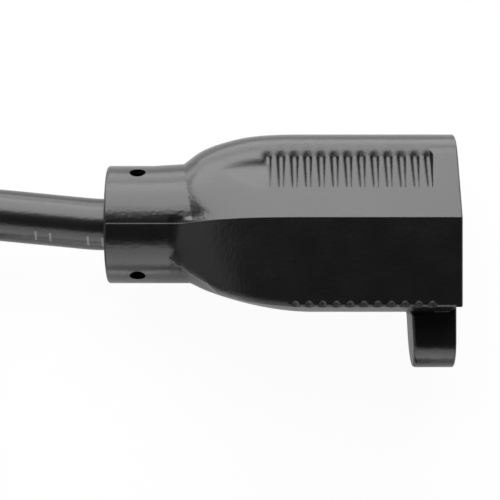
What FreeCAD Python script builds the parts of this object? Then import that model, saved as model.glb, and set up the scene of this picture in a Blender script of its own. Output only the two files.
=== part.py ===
import FreeCAD, Part

import math
import os

import Sketcher
from FreeCAD import Placement, Rotation, Vector

# A moulded power cord: a three-slot receptacle connector, a round three-core cord put away
# as a tied coil, and an appliance-inlet plug on the far end. Lengths are in millimetres and
# angles in degrees. The connector lies on its flat side: +X leaves its mating face, +Y is
# the earth side and +Z is up from the surface that it lies on.

SIZES = {
    # connector moulding
    "connector_length": 57.4,
    "collar_diameter": 19.54,
    "collar_length": 10.4,
    "collar_rim": 0.45,
    "shoulder_length": 23.2,
    "body_width": 26.0,
    "apex_radius": 7.94,
    "earth_height": 7.06,
    "slant_angle": 31.4,
    "body_drop": 14.5,
    "crown_rise": 1.2,
    "body_edge": 0.5,
    "core_hole_diameter": 2.6,
    "core_hole_setback": 5.2,
    "core_hole_angle": 60.0,
    "grip_pitch": 2.177,
    "grip_margin": 4.83,
    "grip_count": 13,
    "grip_floor": 0.6,
    "grip_taper": 35.0,
    "grip_depth": 0.75,
    "grip_foot_depth": 0.2,
    "grip_length": 6.15,
    "scoop_length": 8.3,
    "scoop_drop": 1.7,
    "scoop_middle_drop": 1.8,
    "scoop_tip_drop": 2.67,
    "scoop_foot": 7.4,
    "scoop_flare": 57.0,
    "scoop_depth": 0.9,
    "under_grip_count": 11,
    "under_grip_radius": 0.75,
    "under_grip_rise": 1.0,
    "under_grip_slope": 45.0,
    "lug_reach": 9.25,
    "lug_width": 10.0,
    "lug_thickness": 7.4,
    "lug_draft": 0.6,
    "lug_round": 4.9,
    "lug_root": 0.7,
    "lug_edge": 0.5,
    "face_plate": 1.05,
    "face_edge": 0.2,
    # contact carrier and contacts
    "carrier_wall": 3.0,
    "carrier_length": 22.0,
    "face_wall": 3.0,
    "blade_spacing": 12.7,
    "earth_offset": 11.9,
    "slot_width": 2.2,
    "line_slot": 7.0,
    "neutral_slot": 8.4,
    "earth_opening": 5.4,
    "chamber_width": 4.0,
    "chamber_height": 8.8,
    "contact_metal": 0.6,
    "contact_gap": 1.4,
    "contact_height": 6.0,
    "contact_length": 17.0,
    "earth_bore": 4.8,
    "earth_sleeve_length": 14.0,
    "earth_slit": 0.8,
    "fit_clearance": 0.1,
    "barrel_diameter": 3.4,
    "barrel_length": 6.0,
    # cord
    "cord_diameter": 8.6,
    "cord_grip": 11.6,
    "wire_diameter": 2.9,
    "wire_lay": 1.75,
    "coil_diameter": 94.6,
    "coil_x": -106.0,
    "coil_y": -37.2,
    "coil_layers": 2,
    "tie_thickness": 0.8,
    "tie_width": 11.0,
    # plug
    "plug_x": -31.0,
    "plug_y": -70.0,
    "plug_cavity_width": 24.4,
    "plug_cavity_height": 16.4,
    "plug_cavity_depth": 17.0,
    "plug_bevel": 5.0,
    "plug_wall": 2.0,
    "plug_edge": 0.5,
    "plug_carrier_length": 8.0,
    "plug_grip_length": 17.0,
    "plug_relief_diameter": 13.0,
    "plug_relief_length": 16.0,
    "plug_rib_pitch": 3.2,
    "plug_rib_count": 4,
    "plug_rib_width": 1.4,
    "plug_rib_depth": 1.2,
    "plug_cord_grip": 10.0,
    "pin_spacing": 14.0,
    "pin_earth_offset": 4.0,
    "pin_height": 4.0,
    "pin_thickness": 2.0,
    "pin_length": 16.0,
    "pin_point": 0.6,
}

# Points of the cord's route past the collar and past the coil, chosen by hand.
LEAD_POINTS = [(-30.6, 4.375, 13.0), (-68.0, 8.0, 12.6), (-101.9, 9.9, 13.7)]
TAIL_POINTS = [(-93.8, -82.9, 5.1), (-67.0, -75.4, 6.6), (-42.0, -70.0, 10.2)]

# How much of the shorter run a bend of the cord takes up, to each side of its corner.
RUN_SHARE = 0.45

# How much of the lead its first bend takes up to each side of its corner. It is short, so
# that the cord is straight where the collar holds it.
EXIT_RUN = 1.6

# How closely an edge has to lie in a plane to be picked, in millimetres.
NEAR = 0.001

doc = FreeCAD.newDocument("power_cord")
sheet = doc.addObject("Spreadsheet::Sheet", "sizes")


def fill_sheet():
    """Write each driving dimension in a cell that carries its name."""
    for row, (name, number) in enumerate(SIZES.items(), start=1):
        sheet.set(f"A{row}", name)
        sheet.set(f"B{row}", str(number))
        sheet.setAlias(f"B{row}", name)
    doc.recompute()


def value(expression):
    """The number that an expression on the sheet comes to."""
    result = sheet.evalExpression(expression)
    return float(getattr(result, "Value", result))


def size(name):
    return f"sizes.{name}"


# The rise of a unit line at 45 degrees.
SLANT_SHARE = math.sqrt(0.5)

# Expressions that several pieces share, in the connector's own frame: its axis is the
# cord's axis and x runs from the collar's end to the mating face.
COLLAR_RADIUS = "sizes.collar_diameter / 2"
FACE = "sizes.connector_length"
SHOULDER_END = "(sizes.collar_length + sizes.shoulder_length)"
TOP = "(sizes.earth_height + sizes.apex_radius)"
UNDERSIDE = "(-sizes.body_drop)"
UNDER_EDGE = "(-sizes.body_drop + sizes.crown_rise)"
LUG_END = "(-sizes.body_drop - sizes.lug_reach)"
BLADE_ROW = "(sizes.earth_height - sizes.earth_offset)"
CARRIER_BACK = "(sizes.connector_length - sizes.carrier_length)"
CONTACT_FRONT = "(sizes.connector_length - sizes.face_wall - sizes.fit_clearance)"
CONTACT_BACK = f"({CONTACT_FRONT} - sizes.contact_length)"
BARREL_BACK = f"({CONTACT_BACK} - sizes.barrel_length)"

# The connector's place in the part: its box is centred on the origin and stands on z = 0.
CONNECTOR_X = "(-sizes.connector_length / 2)"
CONNECTOR_Y = f"(-({TOP} + {LUG_END}) / 2)"
CONNECTOR_Z = "(sizes.body_width / 2)"

# The plug's own frame: x runs from the end of its relief to its open face.
PLUG_LENGTH = (
    "(sizes.plug_relief_length + sizes.plug_grip_length"
    " + sizes.plug_carrier_length + sizes.plug_cavity_depth)"
)
PLUG_FLOOR = f"({PLUG_LENGTH} - sizes.plug_cavity_depth)"
PLUG_BLOCK = f"({PLUG_FLOOR} - sizes.plug_carrier_length)"
PLUG_Z = "(sizes.plug_cavity_height / 2 + sizes.plug_wall)"


def plane(body, role):
    return next(f for f in body.Origin.OriginFeatures if f.Role == role)


def new_body(name, place=None):
    """A body named for its piece, with its place bound to three expressions."""
    body = doc.addObject("PartDesign::Body", name)
    body.Label = name
    for axis, expression in zip("xyz", place or ()):
        body.setExpression(f"Placement.Base.{axis}", expression)
    return body


def new_sketch(body, name, role, shift=None):
    """An empty sketch on one of the body's origin planes, shifted along its normal."""
    sketch = body.newObject("Sketcher::SketchObject", name)
    sketch.AttachmentSupport = [(plane(body, role), "")]
    sketch.MapMode = "FlatFace"
    if shift is not None:
        sketch.AttachmentOffset = Placement(Vector(0, 0, value(shift)), Rotation())
        sketch.setExpression("AttachmentOffset.Base.z", shift)
    return sketch


def pin(sketch, piece, end, across, up):
    """Hold one point of a sketch at two expressions, measured from the sketch's origin."""
    for kind, axis_line, expression in (("DistanceX", -2, across), ("DistanceY", -1, up)):
        if expression == "0":
            sketch.addConstraint(Sketcher.Constraint("PointOnObject", piece, end, axis_line))
        else:
            index = sketch.addConstraint(
                Sketcher.Constraint(kind, -1, 1, piece, end, value(expression))
            )
            sketch.setExpression(f"Constraints[{index}]", expression)


def outline(sketch, corners):
    """Draw a closed outline. A corner is (across, up), and one that an arc leaves is
    (across, up, via), where via is a point that the arc passes through."""
    spots = [Vector(value(c[0]), value(c[1]), 0) for c in corners]
    edges = []
    for i, corner in enumerate(corners):
        start = spots[i]
        end = spots[(i + 1) % len(spots)]
        if len(corner) == 2:
            piece = sketch.addGeometry(Part.LineSegment(start, end), False)
            edges.append((piece, 1, 2))
            continue
        via = Vector(value(corner[2][0]), value(corner[2][1]), 0)
        turns_left = (via - start).cross(end - via).z > 0
        first, last = (start, end) if turns_left else (end, start)
        piece = sketch.addGeometry(Part.Arc(first, via, last), False)
        edges.append((piece, 1, 2) if turns_left else (piece, 2, 1))
    for i, (piece, _, finish) in enumerate(edges):
        following, begin, _ = edges[(i + 1) % len(edges)]
        sketch.addConstraint(
            Sketcher.Constraint("Coincident", piece, finish, following, begin)
        )
    for corner, (piece, begin, _) in zip(corners, edges):
        pin(sketch, piece, begin, corner[0], corner[1])
        if len(corner) == 3:
            spot = Vector(value(corner[2][0]), value(corner[2][1]), 0)
            guide = sketch.addGeometry(Part.Point(spot), True)
            sketch.addConstraint(Sketcher.Constraint("PointOnObject", guide, 1, piece))
            pin(sketch, guide, 1, corner[2][0], corner[2][1])
    return sketch


def circle(sketch, across, up, diameter):
    """Draw a circle whose centre and diameter are bound to expressions."""
    centre = Vector(value(across), value(up), 0)
    radius = value(diameter) / 2
    piece = sketch.addGeometry(Part.Circle(centre, Vector(0, 0, 1), radius), False)
    pin(sketch, piece, 3, across, up)
    index = sketch.addConstraint(Sketcher.Constraint("Diameter", piece, 2 * radius))
    sketch.setExpression(f"Constraints[{index}]", diameter)
    return sketch


def rectangle(sketch, low_across, low_up, high_across, high_up):
    return outline(
        sketch,
        [
            (low_across, low_up),
            (high_across, low_up),
            (high_across, high_up),
            (low_across, high_up),
        ],
    )


def extrude(body, kind, sketch, length, back=False, both_ways=False):
    """Pad or pocket a sketch by a bound length."""
    feature = body.newObject(f"PartDesign::{kind}", sketch.Name + "_" + kind.lower())
    feature.Profile = sketch
    feature.Length = value(length)
    feature.setExpression("Length", length)
    feature.Reversed = back
    if both_ways:
        feature.SideType = "Symmetric"
    doc.recompute()
    return feature


def aim(feature, *heading):
    """Extrude a feature along a heading other than its sketch's normal."""
    feature.UseCustomVector = True
    feature.AlongSketchNormal = True
    feature.Direction = Vector(*(value(part) for part in heading))
    for axis, part in zip("xyz", heading):
        feature.setExpression(f"Direction.{axis}", part)
    doc.recompute()


def turn(body, kind, sketch, axis, angle="360", both_ways=False):
    """Revolve or groove a sketch about an axis."""
    feature = body.newObject(f"PartDesign::{kind}", sketch.Name + "_" + kind.lower())
    feature.Profile = sketch
    feature.ReferenceAxis = axis
    feature.Angle = value(angle)
    feature.setExpression("Angle", angle)
    feature.Midplane = both_ways
    doc.recompute()
    return feature


def repeat(body, feature, count, pitch, back=False):
    """Repeat a feature along x at a bound pitch."""
    pattern = body.newObject("PartDesign::LinearPattern", feature.Name + "_row")
    pattern.Originals = [feature]
    pattern.Direction = (plane(body, "X_Axis"), [""])
    pattern.Mode = "Spacing"
    pattern.Reversed = back
    pattern.Offset = value(pitch)
    pattern.setExpression("Offset", pitch)
    pattern.Occurrences = int(value(count))
    pattern.setExpression("Occurrences", count)
    body.Tip = pattern
    doc.recompute()
    return pattern


def spans(edge, low, high):
    """Whether an edge lies between two places along x."""
    box = edge.BoundBox
    return box.XMin > low - NEAR and box.XMax < high + NEAR


def soften(body, kind, name, width, chosen):
    """Fillet or chamfer the edges of a body that chosen() picks."""
    base = body.Tip
    edges = [f"Edge{i}" for i, edge in enumerate(base.Shape.Edges, start=1) if chosen(edge)]
    feature = body.newObject(f"PartDesign::{kind}", name)
    feature.Base = (base, edges)
    prop = "Radius" if kind == "Fillet" else "Size"
    setattr(feature, prop, value(size(width)))
    feature.setExpression(prop, size(width))
    doc.recompute()
    return feature


def mix(first, second, share):
    return f"({1 - share!r} * ({first}) + {share!r} * ({second}))"


def on_collar(angle):
    """The point of the collar's circle at an angle from straight up, as (up, across)."""
    turned = math.radians(angle)
    return (
        f"({math.cos(turned)!r} * {COLLAR_RADIUS})",
        f"({math.sin(turned)!r} * {COLLAR_RADIUS})",
    )


def house(inset="0"):
    """The right-hand corners of the body's section, top to bottom, as named (up, across)
    points: a round apex, a slanted side, a plumb wall and a crowned underside."""
    radius = f"(sizes.apex_radius - {inset})"
    half = f"(sizes.body_width / 2 - {inset})"
    slope = f"(({half} - {radius} * cos(sizes.slant_angle)) / sin(sizes.slant_angle))"
    apex_end = f"(sizes.earth_height + {radius} * sin(sizes.slant_angle))"
    low = f"({UNDER_EDGE} + {inset})"
    soft = f"{1 - SLANT_SHARE!r} * sizes.body_edge"
    crease = f"({apex_end} - {slope} * cos(sizes.slant_angle))"
    return {
        "apex": (f"(sizes.earth_height + {radius})", "0"),
        "apex_end": (apex_end, f"({radius} * cos(sizes.slant_angle))"),
        "crease": (crease, half),
        "wall_end": (f"({low} + sizes.body_edge)", half),
        "corner": (f"({low} + {soft})", f"({half} - {soft})"),
        "under_edge": (low, f"({half} - sizes.body_edge)"),
        "under": (f"({UNDERSIDE} + {inset})", "0"),
    }


def mirrored(point):
    return (point[0], f"(-{point[1]})")


def house_outline(points, bulges=None):
    """The closed outline of a section from its right-hand points. bulges are the points
    that the slanted side and the wall pass through where they are still round."""
    slant, wall = bulges or (None, None)

    def edge(point, via):
        return (*point, via) if via else point

    def left(via):
        return mirrored(via) if via else None

    return [
        edge(points["apex_end"], slant),
        edge(points["crease"], wall),
        (*points["wall_end"], points["corner"]),
        (*points["under_edge"], points["under"]),
        (*mirrored(points["under_edge"]), mirrored(points["corner"])),
        edge(mirrored(points["wall_end"]), left(wall)),
        edge(mirrored(points["crease"]), left(slant)),
        (*mirrored(points["apex_end"]), points["apex"]),
    ]


# Where each corner of the section lies on the collar's circle, in degrees from the top; how
# far along the shoulder, as a share of its length, it starts to move to the body's own
# section; and how soon it gets there.
COLLAR_ANGLES = {
    "apex": 0,
    "apex_end": 35,
    "crease": 90,
    "wall_end": 125,
    "corner": 135,
    "under_edge": 145,
    "under": 180,
}
SHOULDER_STARTS = {
    "apex": 0.06,
    "apex_end": 0.04,
    "crease": 0.1,
    "wall_end": 0.03,
    "corner": 0.03,
    "under_edge": 0.03,
    "under": 0.12,
}
SHOULDER_POWERS = {
    "apex": 3.2,
    "apex_end": 3.2,
    "crease": 3.0,
    "wall_end": 2.6,
    "corner": 2.6,
    "under_edge": 2.3,
    "under": 1.8,
}
SHOULDER_STATIONS = (0.0, 0.09, 0.2, 0.34, 0.5, 0.66, 0.8, 0.92, 1.0)


def shoulder_share(name, station):
    """How far a corner has moved from the collar to the body, from 0 to 1: it leaves at
    its start and settles gently at the shoulder's end."""
    start = SHOULDER_STARTS[name]
    done = max(0.0, (station - start) / (1 - start))
    return 1 - (1 - done) ** SHOULDER_POWERS[name]


def midway(first, second):
    return tuple(f"(({a}) + ({b})) / 2" for a, b in zip(first, second))


def shoulder_section(body, number, station):
    """One section of the shoulder, part of the way from the collar's circle to the body."""
    full = house()
    points = {}
    for name, angle in COLLAR_ANGLES.items():
        share = shoulder_share(name, station)
        round_point = on_collar(angle)
        points[name] = (
            mix(round_point[0], full[name][0], share),
            "0" if full[name][1] == "0" else mix(round_point[1], full[name][1], share),
        )
    bulges = []
    for first, second in (("apex_end", "crease"), ("crease", "wall_end")):
        share = (shoulder_share(first, station) + shoulder_share(second, station)) / 2
        round_middle = on_collar((COLLAR_ANGLES[first] + COLLAR_ANGLES[second]) / 2)
        flat_middle = midway(full[first], full[second])
        via = tuple(mix(a, b, share) for a, b in zip(round_middle, flat_middle))
        bulges.append(via if share < 1 else None)
    shift = f"(sizes.collar_length + {station} * sizes.shoulder_length)"
    sketch = new_sketch(body, f"shoulder_{number}", "YZ_Plane", shift)
    return outline(sketch, house_outline(points, bulges))


def tilted_sketch(body, name, turned, shift):
    """An empty sketch on the body's XY plane, turned about x and shifted in y and z."""
    sketch = new_sketch(body, name, "XY_Plane")
    sketch.AttachmentOffset = Placement(
        Vector(0, value(shift[0]), value(shift[1])), Rotation(Vector(1, 0, 0), value(turned))
    )
    sketch.setExpression("AttachmentOffset.Base.y", shift[0])
    sketch.setExpression("AttachmentOffset.Base.z", shift[1])
    sketch.setExpression("AttachmentOffset.Rotation.Angle", turned)
    return sketch


# The sign of the across direction on each side of the connector.
SIDES = {"right": "", "left": "-"}
FIRST_GROOVE = "(sizes.connector_length - sizes.grip_margin)"
LAST_GROOVE = f"({FIRST_GROOVE} - (sizes.grip_count - 1) * sizes.grip_pitch)"


def grip_floor(body, name, sign, depth, rise):
    """An empty sketch in the floor of a recess down one slanted side. Its origin is level with
    the heads of the finger grooves, at the given depth, and it climbs out at the given angle."""
    up, across = house()["apex_end"]
    head_up = f"({up} - {depth} * sin(sizes.slant_angle))"
    head_across = f"({across} - {depth} * cos(sizes.slant_angle))"
    lean = f"(sizes.slant_angle + {rise} / 1 deg)"
    turned = f"(180 + {lean})" if sign else f"(-{lean})"
    return tilted_sketch(body, name, turned, (head_up, f"({sign}{head_across})"))


def grip_grooves(body):
    """Finger grooves with flared walls and six-sided heads down both slanted sides."""
    half = "sizes.grip_floor / 2"
    rise = "asin((sizes.grip_depth - sizes.grip_foot_depth) / sizes.grip_length)"
    for side, sign in SIDES.items():
        foot = f"(-{sign}1 * sizes.grip_length)"
        head = f"({sign}1 * cos(30) * {half})"
        sketch = grip_floor(body, f"grip_{side}", sign, size("grip_depth"), rise)
        outline(
            sketch,
            [
                (f"({FIRST_GROOVE} - {half})", foot),
                (f"({FIRST_GROOVE} + {half})", foot),
                (f"({FIRST_GROOVE} + {half})", "0"),
                (f"({FIRST_GROOVE} + {half} / 2)", head),
                (f"({FIRST_GROOVE} - {half} / 2)", head),
                (f"({FIRST_GROOVE} - {half})", "0"),
            ],
        )
        groove = extrude(body, "Pocket", sketch, "(2 * sizes.grip_depth)", back=True)
        groove.TaperAngle = value(size("grip_taper"))
        groove.setExpression("TaperAngle", size("grip_taper"))
        repeat(body, groove, size("grip_count"), size("grip_pitch"), back=True)


def axis_line(sketch, first, last):
    """A construction line in a sketch, to turn its outline about."""
    start = Vector(value(first[0]), value(first[1]), 0)
    end = Vector(value(last[0]), value(last[1]), 0)
    line = sketch.addGeometry(Part.LineSegment(start, end), True)
    pin(sketch, line, 1, *first)
    pin(sketch, line, 2, *last)
    return (sketch, ["Axis0"])


def under_grooves(body):
    """Round-floored finger notches that slope through both lower corners."""
    up = f"({UNDER_EDGE} + sizes.under_grip_rise)"
    radius = "sizes.under_grip_radius"
    slope = size("under_grip_slope")
    across = f"(sizes.body_width / 2 + {radius} * (sin({slope}) + cos({slope})))"
    for side, sign in SIDES.items():
        turned = f"(180 + {slope})" if sign else f"(-{slope})"
        sketch = tilted_sketch(body, f"under_grip_{side}", turned, (up, f"({sign}{across})"))
        circle(sketch, FIRST_GROOVE, "0", f"(2 * {radius})")
        notch = extrude(body, "Pocket", sketch, f"(sizes.under_grip_rise + 4 * {radius})")
        repeat(body, notch, size("under_grip_count"), size("grip_pitch"), back=True)


def face_plate(body):
    """The square-cornered plate that ends the grip at the mating face."""
    points = house()
    corner = (UNDER_EDGE, points["crease"][1])
    sketch = new_sketch(body, "face_plate", "YZ_Plane", FACE)
    outline(
        sketch,
        [
            points["apex_end"],
            points["crease"],
            corner,
            mirrored(corner),
            mirrored(points["crease"]),
            (*mirrored(points["apex_end"]), points["apex"]),
        ],
    )
    extrude(body, "Pad", sketch, size("face_plate"), back=True)


def lug(body):
    """A lug below the mating face, drafted on its back."""
    sketch = new_sketch(body, "lug", "XY_Plane")
    back = "(sizes.connector_length - sizes.lug_thickness)"
    outline(
        sketch,
        [
            (back, UNDER_EDGE),
            (f"({back} + sizes.lug_draft)", LUG_END),
            (FACE, LUG_END),
            (FACE, UNDER_EDGE),
        ],
    )
    extrude(body, "Pad", sketch, size("lug_width"), both_ways=True)


def soften_connector(body):
    """Round the collar's rim, the lug's end, root and back, and bevel the mating face."""
    face = value(FACE)
    end = value(LUG_END)
    half = value("sizes.lug_width / 2")
    lug_back = face - value(size("lug_thickness"))
    drafted = lug_back + value(size("lug_draft"))
    foot = value(UNDERSIDE)

    def at_end(edge):
        return edge.BoundBox.YMax < end + NEAR and edge.BoundBox.ZLength < NEAR

    def on_back(edge):
        return spans(edge, lug_back, drafted) and abs(edge.CenterOfMass.z) < half + NEAR

    soften(body, "Fillet", "collar_rim", "collar_rim", lambda edge: spans(edge, 0, 0))
    soften(body, "Fillet", "lug_end", "lug_round", at_end)
    soften(
        body,
        "Fillet",
        "lug_root",
        "lug_root",
        lambda edge: on_back(edge) and foot < edge.CenterOfMass.y < value(UNDER_EDGE),
    )
    soften(
        body,
        "Fillet",
        "lug_rim",
        "lug_edge",
        lambda edge: on_back(edge) and edge.CenterOfMass.y < foot,
    )
    soften(body, "Chamfer", "face_rim", "face_edge", lambda edge: spans(edge, face, face))


def scoops(body):
    """A thumb scoop on each slanted side, cut a little below the floor of the finger grooves.
    Its upper wall flares, and its floor runs out below and towards the collar."""
    rise = "atan(sizes.scoop_depth / sizes.scoop_foot)"
    past_foot = "(1.2 * sizes.scoop_foot)"
    tip = f"({LAST_GROOVE} - sizes.scoop_length)"
    middle = f"({LAST_GROOVE} - sizes.scoop_length / 2)"
    for side, sign in SIDES.items():

        def below(drop):
            return f"(-{sign}1 * {drop})"

        sketch = grip_floor(body, f"scoop_{side}", sign, size("scoop_depth"), rise)
        outline(
            sketch,
            [
                (tip, below("sizes.scoop_tip_drop"), (middle, below("sizes.scoop_middle_drop"))),
                (LAST_GROOVE, below("sizes.scoop_drop")),
                (LAST_GROOVE, below(past_foot)),
                (tip, below(past_foot)),
            ],
        )
        scoop = extrude(body, "Pocket", sketch, "(2 * sizes.grip_depth)")
        turned = "(sizes.slant_angle + sizes.scoop_flare)"
        aim(scoop, "0", f"sin({turned})", f"({sign}cos({turned}))")


def core_holes(body):
    """Holes through the collar to the jacket, where pins held the cord in the mould."""
    for number, sign in enumerate(("", "-")):
        lean = f"({sign}sizes.core_hole_angle)"
        sketch = tilted_sketch(body, f"core_hole_{number}", lean, ("0", "0"))
        circle(sketch, size("core_hole_setback"), "0", size("core_hole_diameter"))
        extrude(body, "Pocket", sketch, size("collar_diameter"), both_ways=True)


def connector_skin():
    """The connector's moulding, solid but for the cord's bore and the carrier's pocket."""
    body = new_body("connector_skin", (CONNECTOR_X, CONNECTOR_Y, CONNECTOR_Z))
    sections = [
        shoulder_section(body, number, station)
        for number, station in enumerate(SHOULDER_STATIONS)
    ]
    loft = body.newObject("PartDesign::AdditiveLoft", "shoulder")
    loft.Profile = sections[0]
    loft.Sections = sections[1:]
    doc.recompute()
    collar = new_sketch(body, "collar", "YZ_Plane")
    circle(collar, "0", "0", size("collar_diameter"))
    extrude(body, "Pad", collar, size("collar_length"))
    grip = new_sketch(body, "grip", "YZ_Plane", SHOULDER_END)
    outline(grip, house_outline(house()))
    extrude(body, "Pad", grip, f"({FACE} - {SHOULDER_END} - sizes.face_plate)")
    face_plate(body)
    lug(body)
    soften_connector(body)
    under_grooves(body)
    scoops(body)
    grip_grooves(body)
    bore = new_sketch(body, "cord_bore", "YZ_Plane")
    circle(bore, "0", "0", size("cord_diameter"))
    extrude(body, "Pocket", bore, size("cord_grip"), back=True)
    core_holes(body)
    pocket = new_sketch(body, "carrier_pocket", "YZ_Plane", FACE)
    outline(pocket, house_outline(house(size("carrier_wall"))))
    extrude(body, "Pocket", pocket, size("carrier_length"))
    return body


def slot(body, name, across, height):
    """A blade slot through the carrier's face and the wider chamber behind it."""
    side = f"({across} - sizes.slot_width / 2)", f"({across} + sizes.slot_width / 2)"
    sketch = new_sketch(body, f"{name}_slot", "YZ_Plane", FACE)
    low = f"({BLADE_ROW} - {height} / 2)"
    high = f"({BLADE_ROW} + {height} / 2)"
    rectangle(sketch, low, side[0], high, side[1])
    extrude(body, "Pocket", sketch, size("carrier_length"))
    chamber = new_sketch(body, f"{name}_chamber", "YZ_Plane", CARRIER_BACK)
    rectangle(
        chamber,
        f"({BLADE_ROW} - sizes.chamber_height / 2)",
        f"({across} - sizes.chamber_width / 2)",
        f"({BLADE_ROW} + sizes.chamber_height / 2)",
        f"({across} + sizes.chamber_width / 2)",
    )
    depth = "(sizes.carrier_length - sizes.face_wall)"
    extrude(body, "Pocket", chamber, depth, back=True)


def contact_carrier():
    """The insert behind the mating face: two blade slots and an arched earth opening."""
    body = new_body("contact_carrier", (CONNECTOR_X, CONNECTOR_Y, CONNECTOR_Z))
    block = new_sketch(body, "carrier", "YZ_Plane", FACE)
    outline(block, house_outline(house(size("carrier_wall"))))
    extrude(body, "Pad", block, size("carrier_length"), back=True)
    slot(body, "line", "(sizes.blade_spacing / 2)", size("line_slot"))
    slot(body, "neutral", "(-sizes.blade_spacing / 2)", size("neutral_slot"))
    half = "sizes.earth_opening / 2"
    arch = new_sketch(body, "earth_arch", "YZ_Plane", FACE)
    outline(
        arch,
        [
            (f"(sizes.earth_height - {half})", f"(-{half})"),
            (f"(sizes.earth_height - {half})", half),
            (size("earth_height"), half, (f"(sizes.earth_height + {half})", "0")),
            (size("earth_height"), f"(-{half})"),
        ],
    )
    extrude(body, "Pocket", arch, size("face_wall"))
    chamber = new_sketch(body, "earth_chamber", "YZ_Plane", CARRIER_BACK)
    circle(
        chamber,
        size("earth_height"),
        "0",
        "(sizes.earth_bore + 2 * sizes.contact_metal + 2 * sizes.fit_clearance)",
    )
    extrude(body, "Pocket", chamber, "(sizes.carrier_length - sizes.face_wall)", back=True)
    return body


def barrel(body, up="0", across="0"):
    """The crimped barrel behind a contact, closed on its wire."""
    sketch = new_sketch(body, body.Name + "_barrel", "YZ_Plane")
    circle(sketch, up, across, size("barrel_diameter"))
    extrude(body, "Pad", sketch, size("barrel_length"), back=True)


def blade_contact(name, across):
    """A folded strip with two springing leaves, flared where the blade enters."""
    place = (
        f"({CONNECTOR_X} + {CONTACT_BACK})",
        f"({CONNECTOR_Y} + {BLADE_ROW})",
        f"({CONNECTOR_Z} + {across})",
    )
    body = new_body(name, place)
    inner = "sizes.contact_gap / 2"
    outer = f"({inner} + sizes.contact_metal)"
    lip = "(sizes.chamber_width / 2 - sizes.fit_clearance)"
    tip = "sizes.contact_length"
    bend = "(sizes.contact_length - 2 * sizes.contact_metal - sizes.contact_gap)"
    lip_inner = f"({lip} - sizes.contact_metal)"
    strip = new_sketch(body, name + "_strip", "XZ_Plane")
    outline(
        strip,
        [
            ("0", f"(-{outer})"),
            (bend, f"(-{outer})"),
            (tip, f"(-{lip})"),
            (tip, f"(-{lip_inner})"),
            (bend, f"(-{inner})"),
            (size("contact_metal"), f"(-{inner})"),
            (size("contact_metal"), inner),
            (bend, inner),
            (tip, lip_inner),
            (tip, lip),
            (bend, outer),
            ("0", outer),
        ],
    )
    extrude(body, "Pad", strip, size("contact_height"), both_ways=True)
    barrel(body)
    return body


def earth_contact():
    """A slit sleeve for the round earth pin, closed at its back."""
    body = new_body(
        "earth_contact",
        (
            f"({CONNECTOR_X} + {CONTACT_BACK})",
            f"({CONNECTOR_Y} + sizes.earth_height)",
            CONNECTOR_Z,
        ),
    )
    shell = new_sketch(body, "earth_shell", "YZ_Plane")
    circle(shell, "0", "0", "(sizes.earth_bore + 2 * sizes.contact_metal)")
    extrude(body, "Pad", shell, size("contact_length"))
    bore = new_sketch(body, "earth_bore_sketch", "YZ_Plane", size("contact_length"))
    circle(bore, "0", "0", size("earth_bore"))
    extrude(body, "Pocket", bore, size("earth_sleeve_length"))
    slit = new_sketch(body, "earth_slit_sketch", "XZ_Plane")
    half = "sizes.earth_slit / 2"
    start = "(sizes.contact_length - sizes.earth_sleeve_length)"
    rectangle(slit, start, f"(-{half})", size("contact_length"), half)
    extrude(body, "Pocket", slit, size("earth_bore"), back=False)
    barrel(body)
    return body


def wire_tail(name, origin, start, finish, length):
    """An insulated wire that runs straight from the jacket's end over to its contact. start
    and finish are its (y, z) places in the frame that origin gives."""
    place = [origin[0]] + [f"({o} + {s})" for o, s in zip(origin[1:], start)]
    body = new_body(name, place)
    section = new_sketch(body, name + "_section", "YZ_Plane")
    circle(section, "0", "0", size("wire_diameter"))
    wire = extrude(body, "Pad", section, length)
    slope = ["1"] + [f"((({b}) - ({a})) / ({length}))" for a, b in zip(start, finish)]
    aim(wire, *slope)
    return body


def lay(angle):
    """Where a wire lies in the cord, at an angle from +Y, as (y, z)."""
    turned = math.radians(angle)
    return (
        f"({math.cos(turned)!r} * sizes.wire_lay)",
        f"({math.sin(turned)!r} * sizes.wire_lay)",
    )


def plug_section(inset):
    """Half sizes of the plug's mouth, grown by a wall: the two upper corners are bevelled
    on the earth side."""
    half = f"(sizes.plug_cavity_width / 2 + {inset})"
    low = f"(-sizes.plug_cavity_height / 2 - {inset})"
    high = f"(sizes.plug_cavity_height / 2 + {inset})"
    bevel = f"(sizes.plug_bevel + {2 - math.sqrt(2)!r} * {inset})"
    return [
        (f"(-{half})", low),
        (half, low),
        (half, f"({high} - {bevel})"),
        (f"({half} - {bevel})", high),
        (f"(-{half} + {bevel})", high),
        (f"(-{half})", f"({high} - {bevel})"),
    ]


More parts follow.
